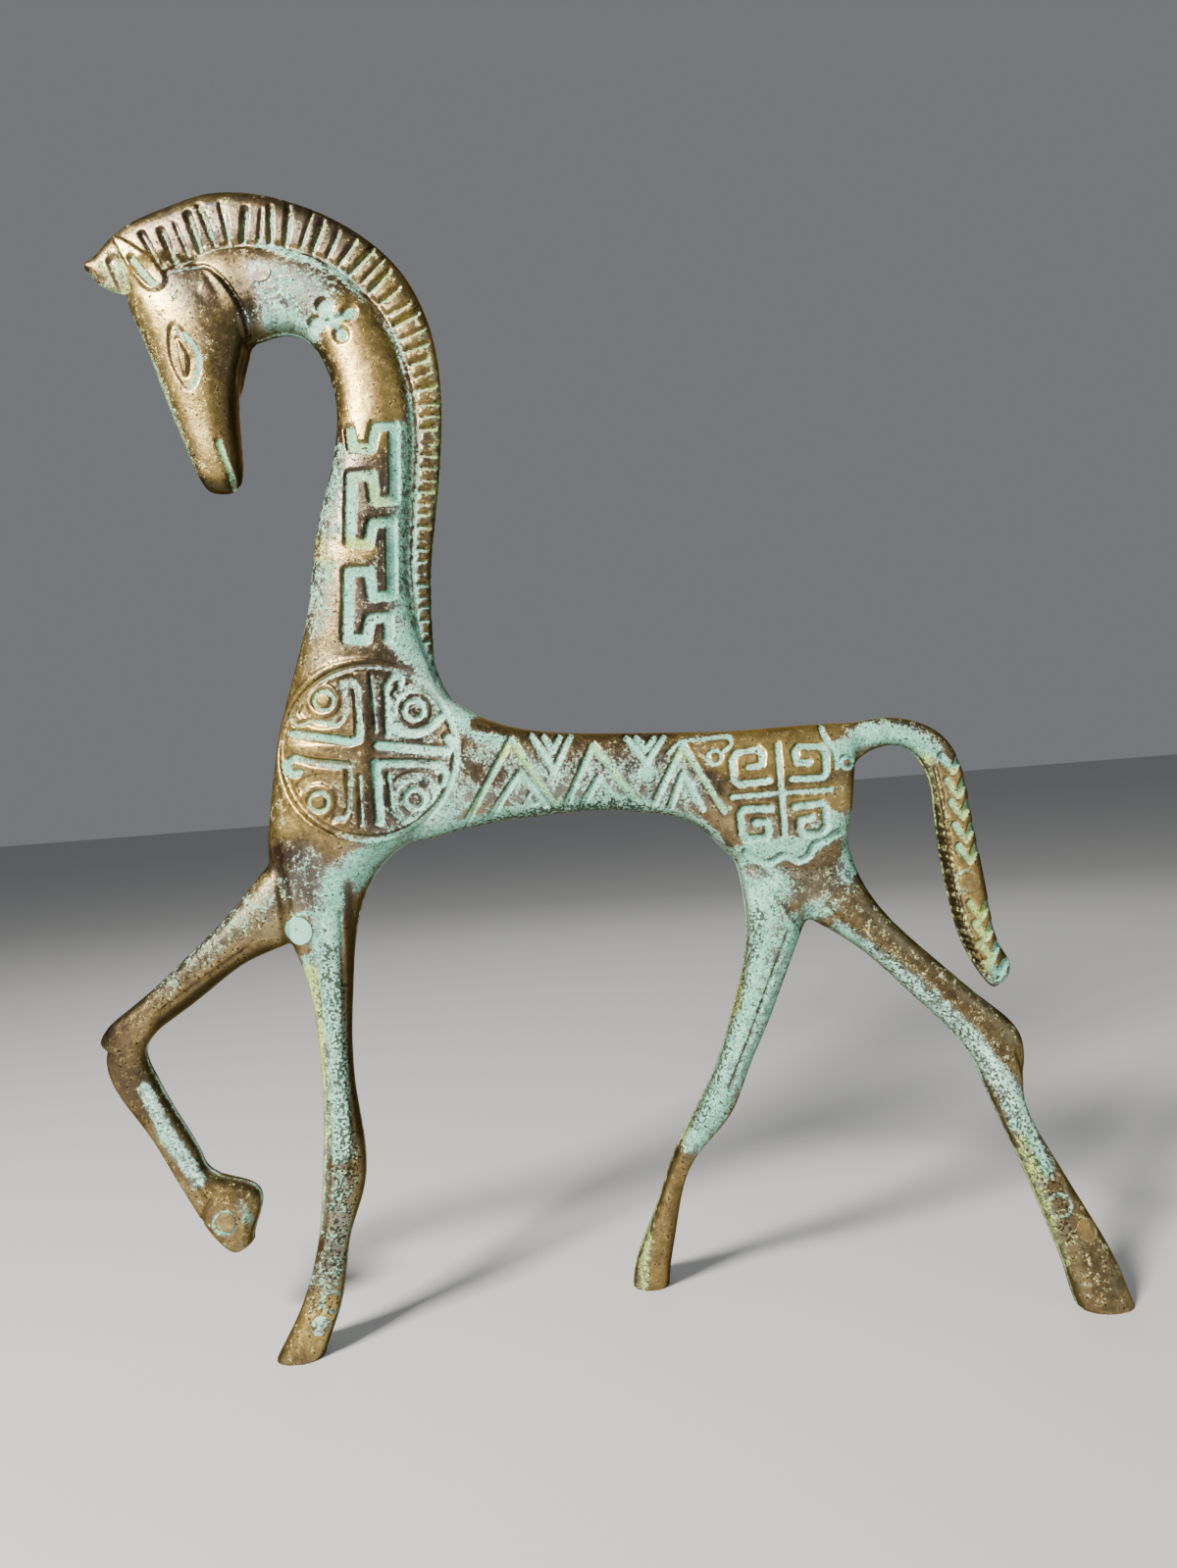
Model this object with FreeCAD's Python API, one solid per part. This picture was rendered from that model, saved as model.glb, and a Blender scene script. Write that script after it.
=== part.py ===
"""Bronze horse statue: two half castings pinned together through eight places.

Millimetres, +Z up.  The head points to -X and the left side of the horse faces -Y.
The origin is under the middle of the statue, on the ground that the three hooves stand on.
The castings meet on a seam that follows the middle of the body and of every limb.
"""
import FreeCAD
import Part
import math
import os

# Driving dimensions
CENTRE_SHIFT = 4.09         # moves the outline so that the middle of its length is at x = 0
WALL = 2.3                  # wall of the hollow head, neck, chest and barrel
SPLAY_START = 82.0          # height of the forks, below which the legs splay sideways
SPLAY_POWER = 1.3           # how the splay grows down a leg
FULLNESS = 2.35             # exponent of the rounded sections, 2 being an ellipse
SECTION_POINTS = 20
PIN_PROUD = 0.25            # how far a pin end stands above the skin
BOSS_EXTRA = 2.2            # metal left round a pin inside the hollow
SIDE_REACH = 60.0           # sideways reach of every cutting tool, well clear of the horse
LENGTH_REACH = 200.0        # its reach along the horse
ROUNDEL_CENTRE = (-48.0, 126.5)
ROUNDEL_RADIUS = 19.7
ROUNDEL_RIM = 1.3
RELIEF_HEIGHT = 0.5         # how far the roundel's rim and cross stand above the skin
CROSS_HALF_LENGTH = 17.0
CROSS_WIDTH = 3.5
CROSS_TURN = 5.0            # degrees that the cross leans

# How far each hoof stands out sideways from the middle plane
SPLAY = {"near_fore": -8.0, "raised": 9.0, "near_hind": -13.3, "far_hind": 14.0}

# Every limb is a row of sections: one edge point, the other edge point, half thickness.
HEAD = [
    ((-78.6, 186.0), (-73.2, 185.6), 2.4),
    ((-80.4, 190.1), (-70.9, 189.5), 4.4),
    ((-82.6, 196.5), (-70.6, 196.5), 5.2),
    ((-84.9, 203.5), (-70.5, 204.0), 5.8),
    ((-87.1, 211.0), (-69.6, 211.5), 6.6),
    ((-89.5, 219.0), (-67.5, 219.0), 7.3),
    ((-92.0, 226.5), (-68.6, 227.0), 7.4),
    ((-92.5, 233.0), (-73.0, 234.0), 6.2),
    ((-89.0, 237.5), (-78.0, 237.5), 4.0),
]
NECK_AND_NEAR_FORE = [
    ((-72.0, 219.0), (-77.0, 238.6), 5.2),
    ((-66.8, 218.0), (-69.8, 239.6), 5.8),
    ((-60.9, 219.5), (-60.5, 238.6), 6.2),
    ((-55.6, 218.6), (-50.0, 235.2), 6.4),
    ((-52.0, 214.6), (-41.4, 227.2), 6.6),
    ((-49.7, 208.0), (-34.8, 214.6), 6.9),
    ((-49.0, 199.5), (-32.1, 199.5), 7.2),
    ((-51.2, 188.4), (-32.9, 188.0), 7.4),
    ((-54.5, 178.4), (-34.1, 178.0), 7.7),
    ((-57.1, 166.6), (-35.4, 166.0), 8.0),
    ((-60.0, 153.2), (-34.3, 152.5), 8.3),
    ((-64.8, 139.2), (-30.2, 140.0), 8.6),
    ((-68.4, 126.0), (-26.0, 127.0), 8.8),
    ((-70.6, 114.0), (-30.0, 113.0), 8.7),
    ((-71.4, 104.5), (-44.5, 104.0), 8.1),
    ((-70.6, 97.0), (-50.4, 97.0), 7.2),
    ((-69.2, 90.0), (-53.2, 90.0), 6.2),
    ((-66.6, 83.0), (-54.6, 83.0), 5.2),
    ((-64.5, 75.0), (-55.5, 75.0), 4.6),
    ((-63.5, 64.0), (-56.4, 64.0), 4.2),
    ((-63.2, 53.0), (-56.1, 53.0), 4.1),
    ((-63.8, 41.5), (-54.8, 41.0), 4.4),
    ((-64.6, 33.0), (-55.7, 32.5), 4.3),
    ((-65.6, 24.5), (-59.0, 23.5), 3.6),
    ((-67.6, 16.5), (-60.5, 15.0), 3.6),
    ((-70.6, 9.0), (-62.2, 8.2), 4.3),
    ((-74.0, 3.0), (-64.4, 3.0), 5.0),
    ((-76.6, -2.0), (-66.6, -2.0), 5.2),
]
MANE = [
    ((-102.2, 236.2), (-101.4, 238.6), 1.4),
    ((-94.6, 230.0), (-96.0, 242.9), 2.6),
    ((-86.5, 232.5), (-88.6, 247.2), 3.2),
    ((-79.5, 234.0), (-80.4, 249.8), 3.4),
    ((-70.2, 236.0), (-69.8, 251.4), 3.4),
    ((-60.0, 235.0), (-56.2, 248.4), 3.4),
    ((-49.8, 231.0), (-43.3, 241.6), 3.4),
    ((-42.0, 223.5), (-32.7, 231.3), 3.4),
    ((-37.0, 213.5), (-27.1, 217.8), 3.3),
    ((-35.3, 200.0), (-25.9, 203.0), 3.2),
    ((-36.0, 186.5), (-27.5, 187.0), 3.1),
    ((-37.7, 171.0), (-30.4, 171.0), 3.0),
    ((-38.6, 157.0), (-31.8, 156.5), 3.0),
    ((-37.5, 145.0), (-31.8, 145.6), 3.0),
    ((-34.0, 135.5), (-28.8, 137.4), 2.6),
]
BARREL = [
    ((-50.0, 112.0), (-46.0, 136.0), 5.0),
    ((-41.0, 106.6), (-35.5, 141.0), 6.8),
    ((-32.5, 107.4), (-27.6, 135.9), 7.6),
    ((-21.2, 109.2), (-20.0, 131.2), 7.5),
    ((-9.4, 109.8), (-9.4, 128.3), 7.0),
    ((1.0, 110.1), (1.0, 127.1), 6.8),
    ((11.5, 108.7), (10.5, 126.4), 6.9),
    ((21.0, 105.9), (20.0, 125.8), 7.3),
    ((29.0, 98.0), (30.5, 125.2), 8.0),
    ((37.0, 91.0), (41.0, 125.2), 8.6),
    ((46.5, 89.0), (50.5, 125.2), 8.0),
    ((54.6, 99.0), (55.6, 125.2), 6.4),
    ((57.0, 112.0), (58.2, 124.6), 4.6),
]
RAISED_FOREARM = [
    ((-64.0, 108.0), (-57.0, 97.0), 4.6),
    ((-70.8, 104.6), (-62.0, 90.4), 5.6),
    ((-77.4, 97.8), (-69.6, 86.0), 5.8),
    ((-84.4, 90.8), (-78.4, 82.8), 5.3),
    ((-91.2, 85.1), (-85.8, 78.1), 4.9),
    ((-98.8, 78.9), (-93.4, 73.0), 4.6),
    ((-106.4, 73.6), (-100.2, 68.2), 4.6),
    ((-111.8, 67.8), (-103.2, 62.6), 4.4),
]
RAISED_CANNON = [
    ((-109.6, 67.0), (-102.4, 66.2), 3.4),
    ((-110.8, 63.0), (-101.9, 62.6), 4.1),
    ((-109.4, 57.0), (-100.4, 58.0), 4.1),
    ((-105.4, 49.8), (-97.0, 50.0), 4.0),
    ((-100.6, 40.4), (-92.9, 41.0), 3.8),
    ((-96.9, 32.0), (-88.8, 35.4), 4.0),
    ((-94.0, 25.6), (-81.6, 32.4), 4.5),
    ((-90.9, 20.6), (-81.2, 26.6), 4.5),
    ((-87.0, 17.8), (-83.4, 19.6), 3.4),
]
NEAR_HIND = [
    ((36.0, 100.0), (50.0, 110.0), 4.8),
    ((41.5, 88.6), (55.0, 100.6), 5.6),
    ((49.0, 80.4), (58.6, 88.0), 5.6),
    ((57.2, 74.2), (65.4, 78.8), 5.1),
    ((66.0, 64.8), (73.6, 70.4), 4.8),
    ((73.2, 57.0), (82.0, 62.2), 4.6),
    ((77.6, 50.0), (88.2, 54.6), 4.5),
    ((80.2, 42.0), (87.2, 43.6), 4.0),
    ((83.0, 34.0), (88.8, 36.0), 3.6),
    ((86.0, 25.0), (93.0, 27.0), 3.7),
    ((88.8, 15.5), (97.8, 17.0), 4.2),
    ((90.9, 7.5), (101.4, 8.5), 4.9),
    ((93.0, -2.0), (104.2, -2.0), 5.2),
]
FAR_HIND = [
    ((32.0, 112.0), (50.0, 108.0), 4.2),
    ((30.0, 99.0), (50.0, 97.0), 5.8),
    ((31.4, 89.0), (46.6, 87.0), 6.2),
    ((31.4, 80.5), (43.2, 79.6), 5.6),
    ((29.6, 71.5), (39.4, 71.0), 5.0),
    ((26.4, 61.0), (34.9, 60.5), 4.6),
    ((22.4, 50.5), (30.0, 50.0), 4.3),
    ((17.0, 40.4), (25.2, 39.6), 4.3),
    ((11.7, 30.4), (16.8, 30.0), 3.5),
    ((8.0, 20.5), (13.1, 20.5), 3.4),
    ((3.6, 10.5), (11.0, 10.5), 4.4),
    ((1.3, 3.5), (9.6, 3.5), 4.8),
    ((0.4, -2.0), (8.8, -2.0), 4.9),
]
TAIL = [
    ((50.5, 109.0), (50.0, 123.0), 3.2),
    ((56.0, 113.0), (56.0, 124.9), 3.5),
    ((60.2, 117.6), (61.6, 125.5), 3.6),
    ((66.0, 119.2), (68.0, 125.2), 3.5),
    ((71.2, 116.8), (76.0, 121.9), 3.5),
    ((73.8, 112.0), (80.2, 116.2), 3.6),
    ((74.6, 104.0), (82.2, 105.0), 3.8),
    ((75.2, 93.0), (83.5, 94.0), 3.8),
    ((76.6, 82.5), (84.7, 84.0), 3.6),
    ((79.8, 71.5), (86.9, 73.0), 3.0),
    ((84.6, 64.6), (87.6, 66.6), 1.4),
]

# Pins that pass right through both halves: place (x, z) and radius
THROUGH_PINS = {
    "neck_pin": ((-62.0, 231.0), 2.2),
    "chest_pin": ((-65.0, 89.4), 3.0),
    "flank_pin": ((12.3, 116.9), 1.5),
    "tail_pin": ((80.4, 88.3), 1.9),
    "raised_hoof_pin": ((-87.7, 26.2), 2.1),
    "near_fore_hoof_pin": ((-65.4, 7.1), 1.9),
    "near_hind_hoof_pin": ((95.3, 15.7), 2.2),
}
# The far hind hoof's pin is blind: it shows only on the far side
BLIND_PIN_PLACE = (5.6, 7.5)
BLIND_PIN_RADIUS = 1.9
BLIND_PIN_START = 9.2       # sideways place of its inner end

# The patch of side view that belongs to each leg, below the forks
FORE_DIVIDE = [(-78.4, -10.0), (-78.4, 50.0), (-70.2, SPLAY_START)]
HIND_DIVIDE = [(45.4, -10.0), (45.4, SPLAY_START)]
BELLY_DIVIDE = [(-20.0, -10.0), (-20.0, SPLAY_START)]
FRONT_EDGE = [(-130.0, -10.0), (-130.0, SPLAY_START)]
BACK_EDGE = [(130.0, -10.0), (130.0, SPLAY_START)]
LEG_PATCHES = {
    "raised": FRONT_EDGE[::-1] + FORE_DIVIDE,
    "near_fore": FORE_DIVIDE[::-1] + BELLY_DIVIDE,
    "far_hind": BELLY_DIVIDE[::-1] + HIND_DIVIDE,
    "near_hind": HIND_DIVIDE[::-1] + BACK_EDGE,
}


def splay_at(leg, height):
    """Sideways place of the seam in one leg at one height."""
    if leg is None or height >= SPLAY_START:
        return 0.0
    drop = (SPLAY_START - height) / SPLAY_START
    return SPLAY[leg] * drop ** SPLAY_POWER


def power_wave(value):
    """A cosine or sine bent so that the section is fuller than an ellipse."""
    return math.copysign(abs(value) ** (2.0 / FULLNESS), value)


def section(first, second, half_depth, leg, inset):
    """Closed rounded curve round one section of a limb."""
    first = FreeCAD.Vector(first[0], 0, first[1])
    second = FreeCAD.Vector(second[0], 0, second[1])
    middle = (first + second) * 0.5
    across = second - first
    half_width = across.Length / 2.0 - inset
    across.normalize()
    middle.y = splay_at(leg, middle.z)
    depth = FreeCAD.Vector(0, half_depth - inset, 0)
    points = []
    for step in range(SECTION_POINTS):
        angle = math.pi * (0.5 + 2.0 * step / SECTION_POINTS)
        along = across * (half_width * power_wave(math.cos(angle)))
        points.append(middle + along + depth * power_wave(math.sin(angle)))
    curve = Part.BSplineCurve()
    curve.interpolate(Points=points, PeriodicFlag=True)
    return Part.Wire([curve.toShape()])


def limb(stations, leg=None, inset=0.0):
    """Solid limb through its row of sections."""
    wires = [section(first, second, half, leg, inset) for first, second, half in stations]
    return Part.makeLoft(wires, True)


def half_horses(near_side):
    """Outer forms of the near and the far half casting, with the soles cut flat."""
    limbs = [
        limb(NECK_AND_NEAR_FORE, "near_fore"),
        limb(BARREL),
        limb(HEAD),
        limb(MANE),
        limb(TAIL),
        limb(RAISED_FOREARM, "raised"),
        limb(RAISED_CANNON, "raised"),
        limb(FAR_HIND, "far_hind"),
        limb(NEAR_HIND, "near_hind"),
    ]
    corner = FreeCAD.Vector(-LENGTH_REACH, -SIDE_REACH, -50)
    ground = Part.makeBox(2 * LENGTH_REACH, 2 * SIDE_REACH, 50, corner)
    near = [piece.common(near_side) for piece in limbs]
    far = [piece.cut(near_side) for piece in limbs]
    return [pieces[0].fuse(pieces[1:]).cut(ground) for pieces in (near, far)]


def side_rod(place, radius, start=-SIDE_REACH, end=SIDE_REACH):
    """Round rod lying across the horse at one place of its side view."""
    base = FreeCAD.Vector(place[0], start, place[1])
    return Part.makeCylinder(radius, end - start, base, FreeCAD.Vector(0, 1, 0))


def roundel_tool():
    """Rim and leaning cross of the shoulder roundel, as bars across the horse."""
    rim = side_rod(ROUNDEL_CENTRE, ROUNDEL_RADIUS)
    rim = rim.cut(side_rod(ROUNDEL_CENTRE, ROUNDEL_RADIUS - ROUNDEL_RIM))
    middle = FreeCAD.Vector(ROUNDEL_CENTRE[0], 0, ROUNDEL_CENTRE[1])
    bars = []
    for turn in (CROSS_TURN, CROSS_TURN + 90.0):
        corner = middle + FreeCAD.Vector(-CROSS_HALF_LENGTH, -SIDE_REACH, -CROSS_WIDTH / 2)
        bar = Part.makeBox(2 * CROSS_HALF_LENGTH, 2 * SIDE_REACH, CROSS_WIDTH, corner)
        bars.append(bar.rotate(middle, FreeCAD.Vector(0, 1, 0), turn))
    return rim.fuse(bars)


def proud_copy(tool, half, height):
    """The part of a tool that lies inside a half casting or stands proud of its skin."""
    return tool.common(half).fuse(tool.common(half.translated(FreeCAD.Vector(0, height, 0))))


def hollow_core():
    """Empty space inside the head, neck, chest and barrel, less a boss round each pin."""
    core = limb(NECK_AND_NEAR_FORE[1:14], inset=WALL).fuse([
        limb(HEAD[2:8], inset=WALL),
        limb(BARREL[0:8], inset=WALL),
    ])
    bosses = [side_rod(place, radius + BOSS_EXTRA) for place, radius in THROUGH_PINS.values()]
    return core.cut(bosses)


def leg_seam_block(leg):
    """Everything on the near side of one leg's seam, below the forks."""
    patch = [FreeCAD.Vector(x, -SIDE_REACH, z) for x, z in LEG_PATCHES[leg]]
    column = Part.Face(Part.makePolygon(patch + patch[:1]))
    column = column.extrude(FreeCAD.Vector(0, 2 * SIDE_REACH, 0))
    bottom = -10.0
    heights = [bottom + (SPLAY_START - bottom) * step / 12.0 for step in range(13)]
    seam = Part.BSplineCurve()
    seam.interpolate(Points=[FreeCAD.Vector(-LENGTH_REACH, splay_at(leg, z), z) for z in heights])
    top_edge = Part.makeLine(seam.EndPoint, FreeCAD.Vector(-LENGTH_REACH, -SIDE_REACH, SPLAY_START))
    side_edge = Part.makeLine(FreeCAD.Vector(-LENGTH_REACH, -SIDE_REACH, SPLAY_START),
                              FreeCAD.Vector(-LENGTH_REACH, -SIDE_REACH, bottom))
    low_edge = Part.makeLine(FreeCAD.Vector(-LENGTH_REACH, -SIDE_REACH, bottom), seam.StartPoint)
    profile = Part.Face(Part.Wire([seam.toShape(), top_edge, side_edge, low_edge]))
    return column.common(profile.extrude(FreeCAD.Vector(2 * LENGTH_REACH, 0, 0)))


def near_side_of_seam():
    """Everything on the near side of the whole seam."""
    corner = FreeCAD.Vector(-LENGTH_REACH, -SIDE_REACH, SPLAY_START)
    upper = Part.makeBox(2 * LENGTH_REACH, SIDE_REACH, 2 * LENGTH_REACH, corner)
    return upper.fuse([leg_seam_block(leg) for leg in LEG_PATCHES])


def through_pin(place, radius, near_half, far_half):
    """Pin through both halves, its ends following the skin and a little proud of it."""
    rod = side_rod(place, radius)
    near_end = proud_copy(rod, near_half, -PIN_PROUD)
    return near_end.fuse(proud_copy(rod, far_half, PIN_PROUD))


def blind_pin(far_half):
    """Pin of the far hind hoof, from inside the hoof out to the far side."""
    rod = side_rod(BLIND_PIN_PLACE, BLIND_PIN_RADIUS, start=BLIND_PIN_START)
    return proud_copy(rod, far_half, PIN_PROUD)


def build():
    """Name and solid of every piece, with the origin under the middle of the statue."""
    near_half, far_half = half_horses(near_side_of_seam())
    pins = {name: through_pin(place, radius, near_half, far_half)
            for name, (place, radius) in THROUGH_PINS.items()}
    pins["far_hind_hoof_pin"] = blind_pin(far_half)
    core = hollow_core()
    roundel = roundel_tool()
    pieces = {}
    for name, half, height in (("left_shell", near_half, -RELIEF_HEIGHT),
                               ("right_shell", far_half, RELIEF_HEIGHT)):
        cast = half.fuse(proud_copy(roundel, half, height))
        pieces[name] = cast.cut(core).cut(list(pins.values()))
    pieces.update(pins)
    middle = FreeCAD.Vector(CENTRE_SHIFT, 0, 0)
    return {name: shape.translated(middle) for name, shape in pieces.items()}


os.makedirs("parts", exist_ok=True)
for name, shape in build().items():
    shape.exportStep("parts/" + name + ".step")
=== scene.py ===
"""Bronze horse statue: skins, relief, patina, pins, floor, lights and camera.

Relief and patina are laid out in millimetres on the statue's middle plane, as a side view:
u runs from the head to the tail and w runs up from the ground.  A point of the skin takes
the place where its line to the viewing point crosses the middle plane.
"""
import bmesh
import bpy
import math
import numpy as np
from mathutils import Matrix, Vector


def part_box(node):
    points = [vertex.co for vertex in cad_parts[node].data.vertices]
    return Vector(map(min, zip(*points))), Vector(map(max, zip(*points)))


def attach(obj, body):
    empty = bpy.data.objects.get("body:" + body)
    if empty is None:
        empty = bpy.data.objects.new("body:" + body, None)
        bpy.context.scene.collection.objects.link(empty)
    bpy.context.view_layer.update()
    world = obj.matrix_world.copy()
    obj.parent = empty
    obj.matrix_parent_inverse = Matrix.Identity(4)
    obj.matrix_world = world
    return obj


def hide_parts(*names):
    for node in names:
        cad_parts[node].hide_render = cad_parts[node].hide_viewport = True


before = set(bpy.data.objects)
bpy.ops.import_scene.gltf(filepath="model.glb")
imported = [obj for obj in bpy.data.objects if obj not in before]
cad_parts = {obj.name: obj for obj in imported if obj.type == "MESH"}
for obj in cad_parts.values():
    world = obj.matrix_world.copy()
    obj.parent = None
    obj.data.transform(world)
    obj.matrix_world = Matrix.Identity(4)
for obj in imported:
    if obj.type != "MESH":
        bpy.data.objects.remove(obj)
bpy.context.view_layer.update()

MM = 0.001
SHELLS = {"left_shell": -1.0, "right_shell": 1.0}     # node and the side that it faces
PINS = sorted(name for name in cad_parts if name.endswith("_pin"))
LAYOUT_SHIFT = 4.09         # the layout's zero lies this far before the model's, mm
EYE_U = -0.5                # viewing point in the layout, mm
EYE_W = 116.0
EYE_DISTANCE = 258.0        # from the middle plane, mm
ROLL = 4.5                  # of the camera, degrees
LENS = 27.0                 # of the camera on a sensor SENSOR wide, mm
SENSOR = 36.0
CELL = 0.36                 # size of the skin's cells, mm
PIN_TRIM = 0.6              # taken off each pin's length where it fills its bore, mm
SKIN_PASSES = 4             # smoothing passes over the whole skin
BLEND_PASSES = 60           # smoothing passes where limbs run together
SPLAY_START = 82.0          # height of the forks, below which the legs splay sideways, mm
SPLAY_POWER = 1.3           # how the splay grows down a leg
# Sideways place of each leg's seam at the ground, mm
SPLAY = {"raised": 9.0, "near_fore": -8.0, "far_hind": 14.0, "near_hind": -13.3}
BELLY_DIVIDE = -20.0        # parts the fore legs from the hind legs, u
HIND_DIVIDE = 45.4          # parts the two hind legs
FORE_DIVIDE = [-78.4, -70.2]            # parts the two fore legs, at the heights below
FORE_DIVIDE_HEIGHTS = [50.0, SPLAY_START]


# ---------------------------------------------------------------- helpers on points

def smooth_step(value, low, high):
    """0 below low, 1 above high, smooth between."""
    t = np.clip((value - low) / (high - low), 0.0, 1.0)
    return t * t * (3.0 - 2.0 * t)


def rounded(points, closed=False, steps=6):
    """Catmull-Rom curve through given points."""
    p = np.array(points, float)
    count = len(p)
    out = []
    spans = count if closed else count - 1
    for i in range(spans):
        if closed:
            a, b, c, d = (p[(i + k) % count] for k in (-1, 0, 1, 2))
        else:
            a, b, c, d = (p[min(max(i + k, 0), count - 1)] for k in (-1, 0, 1, 2))
        for t in np.arange(steps) / steps:
            out.append(0.5 * (2 * b + (c - a) * t + (2 * a - 5 * b + 4 * c - d) * t ** 2
                              + (3 * b - a - 3 * c + d) * t ** 3))
    out.append(p[0] if closed else p[-1])
    return np.array(out)


def near_line(u, w, line, reach):
    """Distance to a line, length along it and side of it, for the points within reach."""
    low, high = line.min(0) - reach, line.max(0) + reach
    chosen = np.flatnonzero((u > low[0]) & (u < high[0]) & (w > low[1]) & (w < high[1]))
    best = np.full(len(chosen), 1e9)
    along = np.zeros(len(chosen))
    side = np.zeros(len(chosen))
    pu, pw = u[chosen], w[chosen]
    start = 0.0
    for a, b in zip(line[:-1], line[1:]):
        run = b - a
        length = math.hypot(run[0], run[1]) + 1e-9
        t = np.clip(((pu - a[0]) * run[0] + (pw - a[1]) * run[1]) / length ** 2, 0.0, 1.0)
        du, dw = pu - a[0] - t * run[0], pw - a[1] - t * run[1]
        distance = np.hypot(du, dw)
        closer = distance < best
        best = np.where(closer, distance, best)
        along = np.where(closer, start + t * length, along)
        side = np.where(closer, np.sign(run[0] * dw - run[1] * du), side)
        start += length
    return chosen, best, along, side


def inside(u, w, outline):
    """True for the points inside a closed outline."""
    result = np.zeros(len(u), bool)
    for a, b in zip(outline, np.roll(outline, -1, axis=0)):
        crosses = (a[1] > w) != (b[1] > w)
        rise = b[1] - a[1] if b[1] != a[1] else 1e-9
        result ^= crosses & (u < a[0] + (w - a[1]) * (b[0] - a[0]) / rise)
    return result


def leg_of(x, z):
    """Sideways splay of the leg that each point belongs to, at the ground."""
    u = x - LAYOUT_SHIFT
    divide = np.interp(z, FORE_DIVIDE_HEIGHTS, FORE_DIVIDE)
    fore = np.where(u < divide, SPLAY["raised"], SPLAY["near_fore"])
    hind = np.where(u < HIND_DIVIDE, SPLAY["far_hind"], SPLAY["near_hind"])
    return np.where(u < BELLY_DIVIDE, fore, hind)


def splay_at(x, z):
    """Sideways place of the seam at each point, in mm."""
    drop = np.clip((SPLAY_START - z) / SPLAY_START, 0.0, None)
    return leg_of(x, z) * drop ** SPLAY_POWER


def layout_places(co, facing):
    """Place on the side view of each point of one half, in mm."""
    scale = EYE_DISTANCE / (EYE_DISTANCE - facing * co[:, 1])
    u = EYE_U + (co[:, 0] - LAYOUT_SHIFT - EYE_U) * scale
    w = EYE_W + (co[:, 2] - EYE_W) * scale
    return u, w


# ---------------------------------------------------------------- the skin

def filled_shape():
    """Both CAD shells joined, with the pin bores filled, as one mesh object."""
    bm = bmesh.new()
    for name in SHELLS:
        bm.from_mesh(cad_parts[name].data)
    for name in PINS:
        low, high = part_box(name)
        middle = (low.y + high.y) / 2
        shorten = 1.0 - PIN_TRIM * MM / (high.y - low.y)
        first = len(bm.verts)
        bm.from_mesh(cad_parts[name].data)
        bm.verts.ensure_lookup_table()
        for vert in bm.verts[first:]:
            vert.co.y = middle + (vert.co.y - middle) * shorten
    bmesh.ops.remove_doubles(bm, verts=bm.verts, dist=1e-7)
    mesh = bpy.data.meshes.new("filled_shape")
    bm.to_mesh(mesh)
    bm.free()
    obj = bpy.data.objects.new("filled_shape", mesh)
    bpy.context.scene.collection.objects.link(obj)
    return obj


def outer_skin():
    """Evenly celled outer skin of the whole horse, without the hollow inside."""
    obj = filled_shape()
    remesh = obj.modifiers.new("cells", "REMESH")
    remesh.mode = "VOXEL"
    remesh.voxel_size = CELL * MM
    graph = bpy.context.evaluated_depsgraph_get()
    mesh = bpy.data.meshes.new_from_object(obj.evaluated_get(graph))
    bpy.data.objects.remove(obj)
    bm = bmesh.new()
    bm.from_mesh(mesh)
    bpy.data.meshes.remove(mesh)
    top = max(bm.verts, key=lambda vert: vert.co.z)
    seen = {top}
    edge_of_search = [top]
    while edge_of_search:
        vert = edge_of_search.pop()
        for edge in vert.link_edges:
            other = edge.other_vert(vert)
            if other not in seen:
                seen.add(other)
                edge_of_search.append(other)
    bmesh.ops.delete(bm, geom=[v for v in bm.verts if v not in seen], context="VERTS")
    return bm


def neighbour_mean(values, edges, count):
    """Mean of each point's neighbours."""
    total = np.empty_like(values)
    for axis in range(values.shape[1]):
        total[:, axis] = (np.bincount(edges[:, 0], values[edges[:, 1], axis], count)
                          + np.bincount(edges[:, 1], values[edges[:, 0], axis], count))
    number = np.bincount(edges[:, 0], None, count) + np.bincount(edges[:, 1], None, count)
    return total / np.maximum(number, 1)[:, None]


# Places where two limbs run together or end, and the casting is smoothed: u, w, radius
BLENDS = [(-31, 124, 15), (-68, 96, 11), (45, 84, 11), (53, 108, 13), (58, 121, 8),
          (-84, 234, 8), (-101, 66, 7), (-33, 141, 8), (-60, 100, 12), (33, 100, 12),
          (-72, 222, 5), (-96, 230.5, 5), (-76, 187.5, 4.5)]
# Place, reach and move that lifts the underside of the forelock
FORELOCK = (-99.5, 231.5)
FORELOCK_REACH = 8.5
FORELOCK_MOVE = (1.2, 1.5)


def smooth_skin(co, edges):
    """Lifts the forelock's underside, then softens the skin, most of all where limbs meet."""
    u = co[:, 0] - LAYOUT_SHIFT
    weight = np.zeros(len(co))
    for place_u, place_w, radius in BLENDS:
        distance = np.hypot(u - place_u, co[:, 2] - place_w)
        weight = np.maximum(weight, 1.0 - smooth_step(distance, radius * 0.6, radius))
    lift = 1.0 - smooth_step(np.hypot(u - FORELOCK[0], co[:, 2] - FORELOCK[1]), 2.0, FORELOCK_REACH)
    co[:, 0] += FORELOCK_MOVE[0] * lift
    co[:, 2] += FORELOCK_MOVE[1] * lift
    sole = smooth_step(co[:, 2], 0.4, 2.0)
    for turn in range(BLEND_PASSES):
        strength = 0.5 * sole * (weight if turn >= SKIN_PASSES else 1.0)
        co = co + (neighbour_mean(co, edges, len(co)) - co) * strength[:, None]
    return co


def mesh_arrays(mesh):
    """Points in mm and edges of a mesh."""
    co = np.empty(len(mesh.vertices) * 3)
    mesh.vertices.foreach_get("co", co)
    edges = np.empty(len(mesh.edges) * 2, np.int32)
    mesh.edges.foreach_get("vertices", edges)
    return co.reshape(-1, 3) / MM, edges.reshape(-1, 2)


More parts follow.
